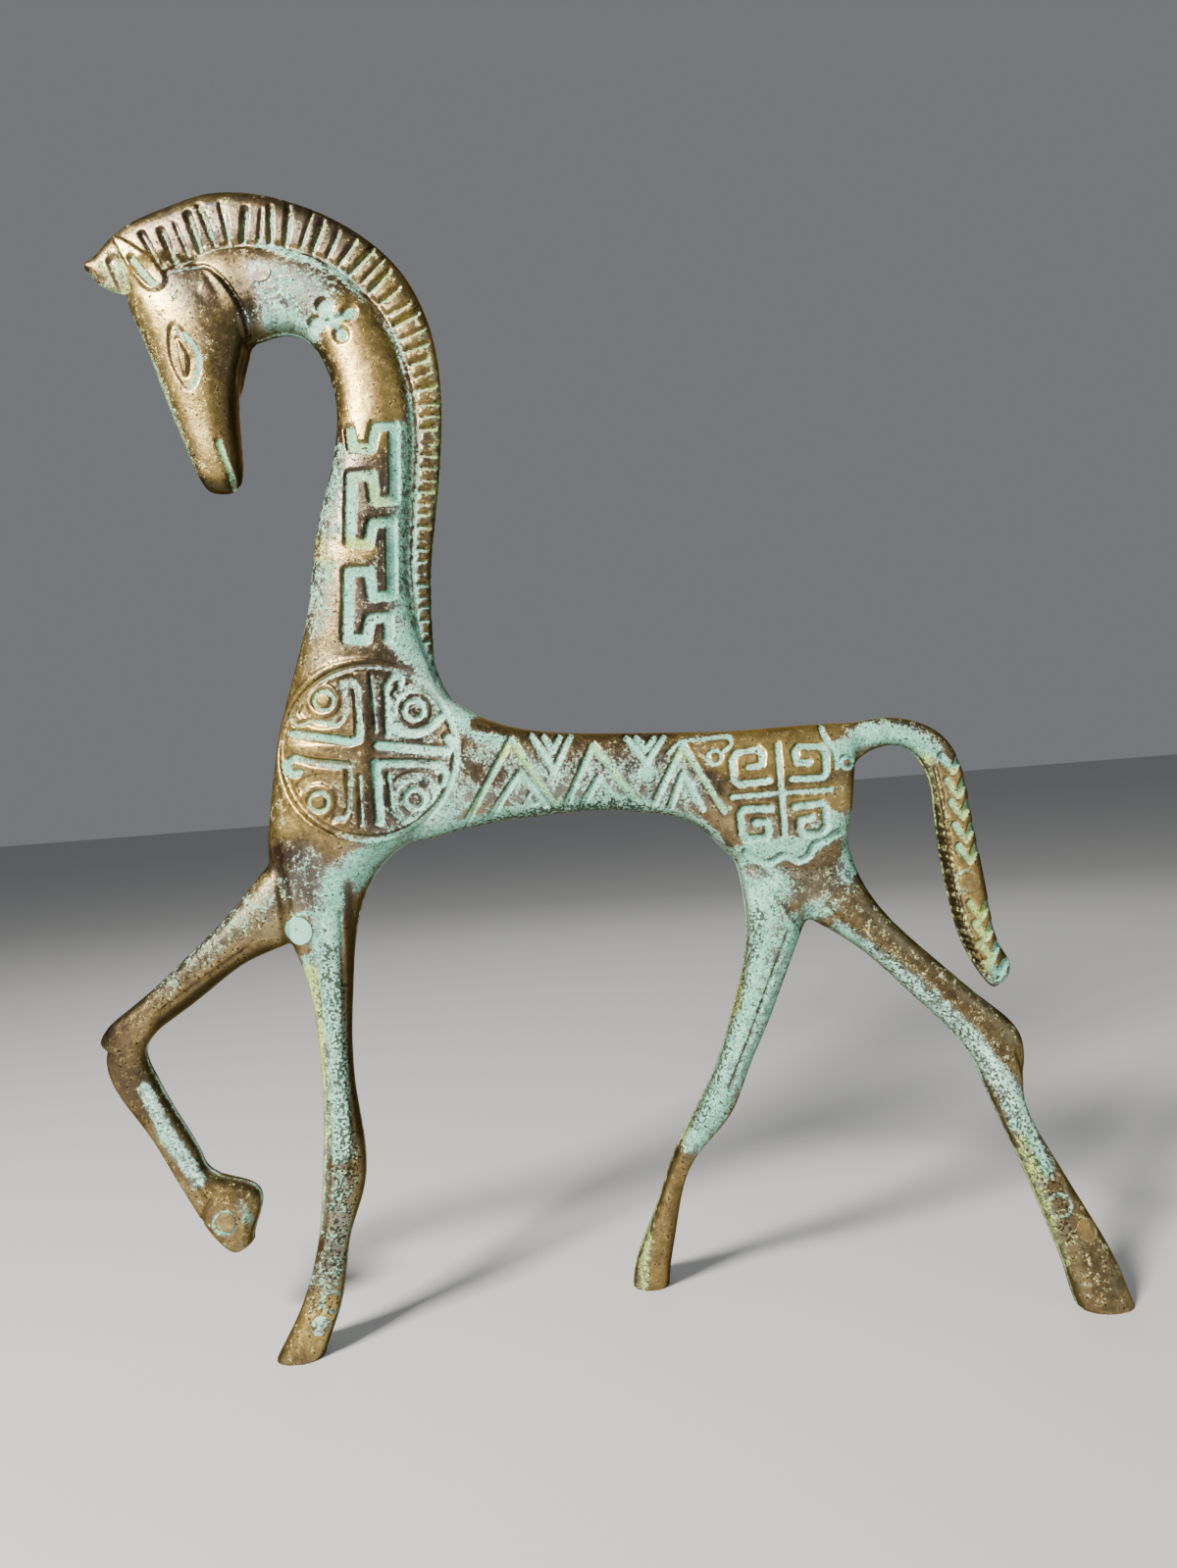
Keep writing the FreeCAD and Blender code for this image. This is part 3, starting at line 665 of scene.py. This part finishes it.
# Near-black shade in creases and on the undersides
SHADE = [
    ([(-70, 232), (-70, 218), (-73, 200)], 6.5, 0.6),
    ([(-110, 70), (-108, 62), (-103, 50)], 3.0, 0.45),
    ([(-70, 234), (-67.0, 224), (-68.6, 214), (-70.8, 202), (-71.6, 190)], 4.6, 0.95),
    ([(-80, 187.5), (-73, 187)], 4.2, 0.95),
    ([(-103, 238), (-97, 243)], 3, 0.6),
    ([(-90, 247), (-70, 251.4), (-50, 246), (-36, 236), (-28, 220)], 1.8, 0.6),
    ([(-55, 98), (-55.5, 80), (-57, 60), (-56.5, 44)], 1.9, 0.85),
    ([(-70, 107), (-69, 96), (-68.8, 87)], 2.2, 0.5),
    ([(-74, 83), (-86, 77.5), (-97, 70.5)], 5.0, 1.0),
    ([(-104, 60), (-98, 46), (-90, 34)], 1.2, 0.2),
    ([(28, 100), (36, 93), (44, 81)], 2.0, 0.55),
    ([(-20, 131), (10, 126.4), (26, 126)], 1.6, 0.4),
    ([(-50, 146), (-44, 146)], 5, 0.35),
    ([(-48, 140), (-48, 112)], 2, 0.3),
    ([(22, 121), (27, 112)], 2.4, 0.5),
    ([(84, 108), (85, 90), (87, 70)], 2.0, 0.55),
    ([(74.6, 104), (76, 84), (80.4, 71)], 2.4, 0.30),
    ([(93, 48), (96, 30), (104, 12)], 1.4, 0.45),
    ([(12, 26), (9, 8)], 1.8, 0.5),
    ([(-82.8, 220.5), (-81.0, 216.5), (-81.8, 212.0)], 2.0, 0.55),
    ([(-90, 20), (-84, 17)], 1.8, 0.7),
]
# Black pits eaten into the surface
PITS = [
    ([(-38, 105), (-16, 109.8), (8, 110.2), (24, 103)], 3.0, 1.5),
    ([(-91, 221), (-86, 205), (-80, 188)], 2.4, 1.0),
    ([(-60, 84), (-59, 62), (-60, 36), (-65, 14)], 4, 1.1),
    ([(34, 84), (25, 58), (17, 40)], 3.4, 1.1),
    ([(60, 74), (78, 54), (90, 30), (97, 10)], 3.4, 0.9),
    ([(-100, 50), (-90, 32)], 4, 0.3),
    ([(-24, 128), (24, 124)], 3, 0.5),
    ([(-72, 92), (-98, 76)], 4, 0.5),
    ([(-72, 10), (-64, 6)], 5, 0.6),
]
# Worn gold flecks
GOLD = [
    ([(-90, 228), (-84, 210), (-78, 196)], 9, 0.8),
    ([(-46, 218), (-41, 203)], 9, 0.9),
    ([(-66, 140), (-67, 118)], 6, 0.5),
    ([(-90, 34), (-83, 24)], 8, 0.7),
    ([(-76, 3), (-64, 14)], 8, 0.8),
    ([(7, 30), (2, 8)], 3.6, 0.9),
    ([(92, 34), (104, 2)], 6, 0.9),
    ([(-109, 70), (-106, 56)], 3, 0.5),
    ([(28, 120), (52, 120)], 6, 0.35),
    ([(78, 112), (84, 70)], 5, 0.6),
    ([(60, 80), (86, 60)], 5, 0.7),
]


def brushed(u, w, strokes, base):
    """Value at each point after the soft strokes are laid one over another."""
    value = np.full(len(u), base)
    for line, reach, amount in strokes:
        chosen, distance, along, side = near_line(u, w, np.array(line, float), reach)
        weight = 1.0 - smooth_step(distance, reach * 0.25, reach)
        value[chosen] += (amount - value[chosen]) * weight
    return value


def green_lines():
    """Strokes of green along every channel of the relief."""
    lines = [(line, width * 0.5 + 0.35, green) for line, width, depth, green in ornament_lines()]
    lines += [([petal, PETAL_MIDDLE], 1.7, 0.8) for petal in PETALS]
    lines += [(EYE_RIM_GREEN, 0.75, 0.7), (EYE_LID, 0.8, 0.2)]
    lines += [(NOSTRIL, 1.1, 0.8), (EAR_SLOT, 1.1, 0.65)]
    return lines


def dark_creases():
    """Strokes of shade along the thin lines of the legs and the tail."""
    flutes = [(line, 1.1, 0.45) for line in LEG_FLUTES]
    return flutes + [(line, 0.8, 0.95) for line in file_marks()]


def paint_patina(mesh, u, w):
    """Stores the patina layout on the points for the material to read."""
    layers = [("verdigris", VERDIGRIS + green_lines(), 0.30), ("tint", TINT, 0.45),
              ("warmth", WARMTH, 0.45), ("shade", SHADE + dark_creases(), 0.0),
              ("pits", PITS, 0.12), ("gold", GOLD, 0.15)]
    for name, strokes, base in layers:
        add_value(mesh, name, brushed(u, w, strokes, base))


def vertex_normals(mesh):
    """Normal of each point."""
    normals = np.empty(len(mesh.vertices) * 3)
    mesh.vertices.foreach_get("normal", normals)
    return normals.reshape(-1, 3)


def add_value(mesh, name, values):
    """Stores one number per point for the materials to read."""
    layer = mesh.attributes.new(name, "FLOAT", "POINT")
    layer.data.foreach_set("value", np.asarray(values, np.float32))


def paint_walls(mesh, edges, carved, plain_normals):
    """Stores the channels' depth, and masks of their walls for painted shade on the upper left and
    painted light on the lower right, as if lit from the upper left.
    """
    around = neighbour_mean(np.stack([carved, carved ** 2], 1), edges, len(carved))
    wall = smooth_step(around[:, 1] - around[:, 0] ** 2, 0.002, 0.02)
    turned = vertex_normals(mesh) - plain_normals
    toward = (turned[:, 0] - turned[:, 2]) / math.sqrt(2.0)
    add_value(mesh, "sunk", carved)
    # Painted shade on the upper left walls and painted light (more green crust) on the lower right
    # walls, for light from the upper left
    add_value(mesh, "painted_shade_wall", wall * smooth_step(toward, 0.12, 0.5))
    add_value(mesh, "painted_light_wall", wall * smooth_step(-toward, 0.12, 0.5))


def relief_direction(normals, facing):
    """Direction that the relief rises in: between the skin's normal and straight sideways."""
    direction = normals.copy()
    direction[:, 1] += facing * 1.0
    return direction / np.linalg.norm(direction, axis=1)[:, None]


def carved_half(skin, name, facing):
    """One half casting with its relief, splayed back to its stance."""
    mesh = half_of(skin, facing)
    mesh.name = name + "_skin"
    co, edges = mesh_arrays(mesh)
    normals = vertex_normals(mesh)
    placed = co.copy()
    placed[:, 1] += splay_at(co[:, 0], co[:, 2])
    u, w = layout_places(placed, facing)
    height, sunk = relief_height(u, w)
    open_side = smooth_step(normals[:, 1] * facing, 0.08, 0.4)
    on_seam = np.abs(co[:, 1]) < 1e-4
    height = np.where(on_seam, 0.0, height * open_side)
    place_points(mesh, placed + relief_direction(normals, facing) * height[:, None])
    paint_walls(mesh, edges, sunk * open_side, normals)
    paint_patina(mesh, u, w)
    # Mask for painted shade: 1 where the skin turns away from the broad sides, darkened in place of
    # dark reflections at the edges
    add_value(mesh, "side", 1.0 - smooth_step(np.abs(normals[:, 1]), 0.20, 0.80))
    add_value(mesh, "seam", 1.0 - smooth_step(np.abs(co[:, 1]), 0.3, 0.9))
    return mesh


# ---------------------------------------------------------------- materials

class Nodes:
    """Small helper that adds and joins shader nodes in one material."""

    def __init__(self, name):
        self.material = bpy.data.materials.new(name)
        self.material.use_nodes = True
        self.tree = self.material.node_tree
        self.shader = self.tree.nodes["Principled BSDF"]
        self.place = self.tree.nodes.new("ShaderNodeTexCoord").outputs["Object"]

    def put(self, socket, value):
        """Joins a socket to another, or sets a plain value on it."""
        if isinstance(value, bpy.types.NodeSocket):
            self.tree.links.new(value, socket)
        else:
            socket.default_value = value

    def value(self, name):
        """Number stored on the points."""
        node = self.tree.nodes.new("ShaderNodeAttribute")
        node.attribute_name = name
        return node.outputs["Fac"]

    def noise(self, scale, detail=3.0, roughness=0.55, warp=0.0):
        """Noise in object coordinates, scale in cells per metre."""
        node = self.tree.nodes.new("ShaderNodeTexNoise")
        node.inputs["Scale"].default_value = scale
        node.inputs["Detail"].default_value = detail
        node.inputs["Roughness"].default_value = roughness
        node.inputs["Distortion"].default_value = warp
        self.tree.links.new(self.place, node.inputs["Vector"])
        return node.outputs["Fac"]

    def math(self, kind, first, second=0.0):
        """One arithmetic step."""
        node = self.tree.nodes.new("ShaderNodeMath")
        node.operation = kind
        self.put(node.inputs[0], first)
        self.put(node.inputs[1], second)
        return node.outputs[0]

    def add(self, *terms):
        """Sum of several terms."""
        total = terms[0]
        for term in terms[1:]:
            total = self.math("ADD", total, term)
        return total

    def times(self, first, second):
        """Product of two terms."""
        return self.math("MULTIPLY", first, second)

    def about(self, source, middle, strength):
        """Deviation of a noise from its middle, scaled."""
        return self.times(self.math("SUBTRACT", source, middle), strength)

    def step(self, source, low, high):
        """Smooth rise from 0 at low to 1 at high."""
        node = self.tree.nodes.new("ShaderNodeMapRange")
        node.interpolation_type = "SMOOTHSTEP"
        self.put(node.inputs["Value"], source)
        node.inputs["From Min"].default_value = low
        node.inputs["From Max"].default_value = high
        return node.outputs["Result"]

    def ramp(self, source, stops):
        """Colour along a ramp of (position, colour) stops."""
        node = self.tree.nodes.new("ShaderNodeValToRGB")
        self.put(node.inputs["Fac"], source)
        stop_list = node.color_ramp.elements
        while len(stop_list) < len(stops):
            stop_list.new(0.5)
        for element, (position, colour) in zip(stop_list, stops):
            element.position = position
            element.color = (*colour, 1.0)
        return node.outputs["Color"]

    def mix(self, share, first, second):
        """Colour mixed from two by a share."""
        node = self.tree.nodes.new("ShaderNodeMix")
        node.data_type = "RGBA"
        self.put(node.inputs["Factor"], share)
        self.put(node.inputs["A"], first)
        self.put(node.inputs["B"], second)
        return node.outputs["Result"]

    def scale(self, colour, factor):
        """Colour made darker or lighter by a factor."""
        node = self.tree.nodes.new("ShaderNodeVectorMath")
        node.operation = "SCALE"
        self.put(node.inputs[0], colour)
        self.put(node.inputs["Scale"], factor)
        return node.outputs["Vector"]

    def bump(self, height, strength, distance):
        """Fine unevenness of the surface."""
        node = self.tree.nodes.new("ShaderNodeBump")
        node.inputs["Strength"].default_value = strength
        node.inputs["Distance"].default_value = distance
        self.put(node.inputs["Height"], height)
        self.put(self.shader.inputs["Normal"], node.outputs["Normal"])


MINT = (0.50, 0.85, 0.68)
TURQUOISE = (0.19, 0.56, 0.42)
YELLOW_GREEN = (0.42, 0.56, 0.13)
GREEN_STOPS = [(0.05, MINT), (0.5, TURQUOISE), (0.95, YELLOW_GREEN)]
METAL_STOPS = [(0.0, (0.095, 0.068, 0.058)), (0.35, (0.18, 0.126, 0.064)),
               (0.65, (0.39, 0.275, 0.092)), (1.0, (0.64, 0.445, 0.145))]
PALE_CRUST = (0.76, 0.92, 0.82, 1.0)
FILM = (0.34, 0.43, 0.42, 1.0)
# Painted shade for the turned-away sides of the limbs, standing in for dark reflections
PAINTED_SIDE_SHADE = (0.070, 0.060, 0.022, 1.0)
NEAR_BLACK = (0.030, 0.024, 0.014, 1.0)
GOLD_FLECK = (0.95, 0.74, 0.30, 1.0)
GRAZING_TINT = (0.42, 0.36, 0.26, 1.0)      # keeps the turned-away sides from shining


def bare_metal(n, broad, patches, grain):
    """Brown to gold metal with worn gold flecks and near-black shade."""
    warmth = n.add(n.value("warmth"), n.about(patches, 0.5, 0.8), n.about(broad, 0.5, 0.5))
    metal = n.ramp(warmth, METAL_STOPS)
    flecks = n.step(n.add(patches, n.about(grain, 0.5, 0.6)), 0.56, 0.68)
    metal = n.mix(n.times(n.times(flecks, n.value("gold")), 0.8), metal, GOLD_FLECK)
    shade = n.times(n.value("shade"), n.add(0.45, patches))
    return n.mix(n.math("MINIMUM", shade, 0.92), metal, NEAR_BLACK)


def verdigris_colour(n, broad, grain):
    """Mint, turquoise or yellow green crust with paler grains."""
    tint = n.add(n.value("tint"), n.about(broad, 0.5, 0.9), n.about(grain, 0.5, 0.4))
    green = n.ramp(tint, GREEN_STOPS)
    return n.mix(n.times(n.step(grain, 0.55, 0.75), 0.55), green, PALE_CRUST)


def verdigris_amount(n):
    """How much verdigris lies at a point: more in hollows and on the seam, less in shade; the
    channels' walls get painted light (more green) on the lower right and painted shade (less green)
    on the upper left.
    """
    hollow = n.step(n.value("sunk"), 0.15, 0.6)
    return n.add(n.value("verdigris"), n.times(hollow, 0.14), n.times(n.value("painted_light_wall"), 0.3),
                 n.times(n.value("painted_shade_wall"), -0.3), n.times(n.value("seam"), 0.22),
                 n.times(n.value("shade"), -0.35))


def darkened_sides(n, colour):
    """Painted shade: colour darkened on the channels' upper left walls, as if lit from the upper
    left, and where the limbs turn away from the broad sides, in place of dark reflections at the
    edges.
    """
    colour = n.mix(n.times(n.value("painted_shade_wall"), 0.62), colour, NEAR_BLACK)
    off_seam = n.math("SUBTRACT", 1.0, n.value("seam"))
    return n.mix(n.times(n.times(n.value("side"), off_seam), 0.80), colour, PAINTED_SIDE_SHADE)


def shell_bronze():
    """Old bronze with verdigris in the hollows, worn gold on the heights and black pits."""
    n = Nodes("patinated_bronze")
    broad = n.noise(110.0, 4.0, 0.6, 0.6)
    patches = n.noise(520.0, 6.0, 0.70, 0.3)
    grain = n.noise(1900.0, 4.0, 0.65)
    specks = n.noise(1600.0, 2.0, 0.5)
    amount = verdigris_amount(n)
    film = n.times(n.step(n.add(amount, n.about(broad, 0.5, 0.6)), 0.22, 0.80), 0.60)
    metal = n.mix(film, bare_metal(n, broad, patches, grain), FILM)
    crust = n.add(amount, n.about(patches, 0.5, 1.4), n.about(grain, 0.5, 1.0))
    cover = n.step(crust, 0.44, 0.66)
    colour = n.mix(n.times(cover, 0.93), metal, verdigris_colour(n, broad, grain))
    colour = darkened_sides(n, colour)
    contrast = n.step(n.add(grain, n.about(patches, 0.5, 0.8)), 0.30, 0.70)
    swing = n.add(0.24, n.times(cover, 0.44))
    colour = n.scale(colour, n.add(1.0, n.times(n.about(contrast, 0.55, 1.0), swing)))
    pitted = n.add(specks, n.about(patches, 0.5, 0.6), n.times(n.value("pits"), 0.15))
    pit_share = n.step(pitted, 0.66, 0.70)
    colour = n.mix(n.times(pit_share, 0.9), colour, NEAR_BLACK)
    rough = n.add(0.33, n.times(cover, 0.36), n.about(patches, 0.5, 0.30),
                  n.times(pit_share, 0.2))
    n.put(n.shader.inputs["Base Color"], colour)
    n.put(n.shader.inputs["Metallic"], n.times(n.math("SUBTRACT", 1.0, cover), 0.94))
    n.put(n.shader.inputs["Roughness"], rough)
    n.put(n.shader.inputs["Specular Tint"], GRAZING_TINT)
    roughened = n.times(n.add(0.15, n.times(cover, 0.45)), grain)
    height = n.add(n.times(patches, 0.45), roughened, n.times(pit_share, -0.7),
                   n.times(cover, 0.2))
    n.bump(height, 0.55, 0.0004)
    return n.material


def pin_bronze(name, cover_amount, tint_amount, warmth):
    """Bronze of a pin end, with its own share of verdigris."""
    n = Nodes(name)
    patches = n.noise(420.0, 6.0, 0.68, 0.4)
    grain = n.noise(1500.0, 4.0, 0.65)
    metal = n.ramp(n.add(warmth, n.about(patches, 0.5, 1.2)), METAL_STOPS)
    green = n.ramp(n.add(tint_amount, n.about(grain, 0.5, 0.5)), GREEN_STOPS)
    crust = n.add(cover_amount, n.about(patches, 0.5, 1.4), n.about(grain, 0.5, 0.8))
    cover = n.step(crust, 0.44, 0.7)
    n.put(n.shader.inputs["Base Color"], n.mix(cover, metal, green))
    n.put(n.shader.inputs["Metallic"], n.times(n.math("SUBTRACT", 1.0, cover), 0.72))
    n.put(n.shader.inputs["Roughness"], n.add(0.36, n.times(cover, 0.34), n.about(grain, 0.5, 0.35)))
    n.bump(n.add(n.times(patches, 0.5), n.times(grain, 0.5)), 0.5, 0.0003)
    return n.material


def pin_looks():
    """Material of each pin whose end differs from plain bronze."""
    return {"chest_pin": pin_bronze("pin_turquoise", 0.85, 0.35, 0.3),
            "flank_pin": pin_bronze("pin_mint", 0.70, 0.5, 0.3),
            "near_fore_hoof_pin": pin_bronze("pin_pale", 0.62, 0.1, 0.3),
            "neck_pin": pin_bronze("pin_hazed", 0.42, 0.2, 0.15)}


# ---------------------------------------------------------------- pieces

def add_castings():
    """The two half castings, in place of the CAD shells."""
    skin = whole_skin()
    bronze = shell_bronze()
    for name, facing in SHELLS.items():
        mesh = carved_half(skin, name, facing)
        piece = bpy.data.objects.new(name + "_casting", mesh)
        bpy.context.scene.collection.objects.link(piece)
        mesh.materials.append(bronze)
        for polygon in mesh.polygons:
            polygon.use_smooth = True
        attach(piece, "root")
        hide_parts(name)


def dress_pins():
    """Gives every CAD pin its bronze."""
    looks = pin_looks()
    plain = pin_bronze("pin_bronze", 0.40, 0.7, 0.6)
    for name in PINS:
        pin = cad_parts[name]
        pin.data.materials.clear()
        pin.data.materials.append(looks.get(name, plain))


# ---------------------------------------------------------------- camera, lights and floor

# Each light: name, place, width and height in metres, power in watts, colour
LIGHTS = [
    ("key", (-0.38, -0.42, 0.52), (0.17, 0.17), 14.5, (1.0, 0.97, 0.92)),
    ("fill", (0.5, -0.4, 0.3), (0.5, 0.4), 0.5, (0.85, 0.92, 1.0)),
    ("back", (0.1, 0.6, 0.5), (0.6, 0.4), 1.2, (1.0, 1.0, 1.0)),
]
LIGHT_TARGET = (0.0, 0.0, 0.12)
FLOOR_REACH = 8.0
FLOOR_GREY = (0.56, 0.555, 0.54, 1.0)
SKY_GREY = (0.75, 0.78, 0.82, 1.0)
SKY_STRENGTH = 0.24


def add_camera():
    """Camera at the viewing point, level and a little rolled."""
    data = bpy.data.cameras.new("camera")
    data.sensor_width = SENSOR
    data.lens = LENS
    data.clip_start = 0.01
    camera = bpy.data.objects.new("camera", data)
    camera.location = Vector((EYE_U + LAYOUT_SHIFT, -EYE_DISTANCE, EYE_W)) * MM
    camera.rotation_euler = (math.radians(90.0), math.radians(ROLL), 0.0)
    bpy.context.scene.collection.objects.link(camera)
    bpy.context.scene.camera = camera


def add_area_light(name, place, size, power, colour):
    """Soft rectangular light aimed at the middle of the statue."""
    data = bpy.data.lights.new(name, "AREA")
    data.shape = "RECTANGLE"
    data.size = size[0]
    data.size_y = size[1]
    data.energy = power
    data.color = colour
    lamp = bpy.data.objects.new(name, data)
    lamp.location = place
    aim = Vector(LIGHT_TARGET) - Vector(place)
    lamp.rotation_euler = aim.to_track_quat("-Z", "Y").to_euler()
    bpy.context.scene.collection.objects.link(lamp)


def add_floor():
    """Pale floor under the hooves."""
    bm = bmesh.new()
    bmesh.ops.create_grid(bm, x_segments=2, y_segments=2, size=FLOOR_REACH)
    mesh = bpy.data.meshes.new("floor")
    bm.to_mesh(mesh)
    bm.free()
    floor = bpy.data.objects.new("floor", mesh)
    bpy.context.scene.collection.objects.link(floor)
    mat = bpy.data.materials.new("floor")
    mat.use_nodes = True
    bsdf = mat.node_tree.nodes["Principled BSDF"]
    bsdf.inputs["Base Color"].default_value = FLOOR_GREY
    bsdf.inputs["Roughness"].default_value = 0.9
    mesh.materials.append(mat)


def add_world():
    """Soft grey surroundings, the same all round."""
    world = bpy.data.worlds.new("studio")
    bpy.context.scene.world = world
    world.use_nodes = True
    background = world.node_tree.nodes["Background"]
    background.inputs["Color"].default_value = SKY_GREY
    background.inputs["Strength"].default_value = SKY_STRENGTH


add_castings()
dress_pins()
add_camera()
for light in LIGHTS:
    add_area_light(*light)
add_floor()
add_world()
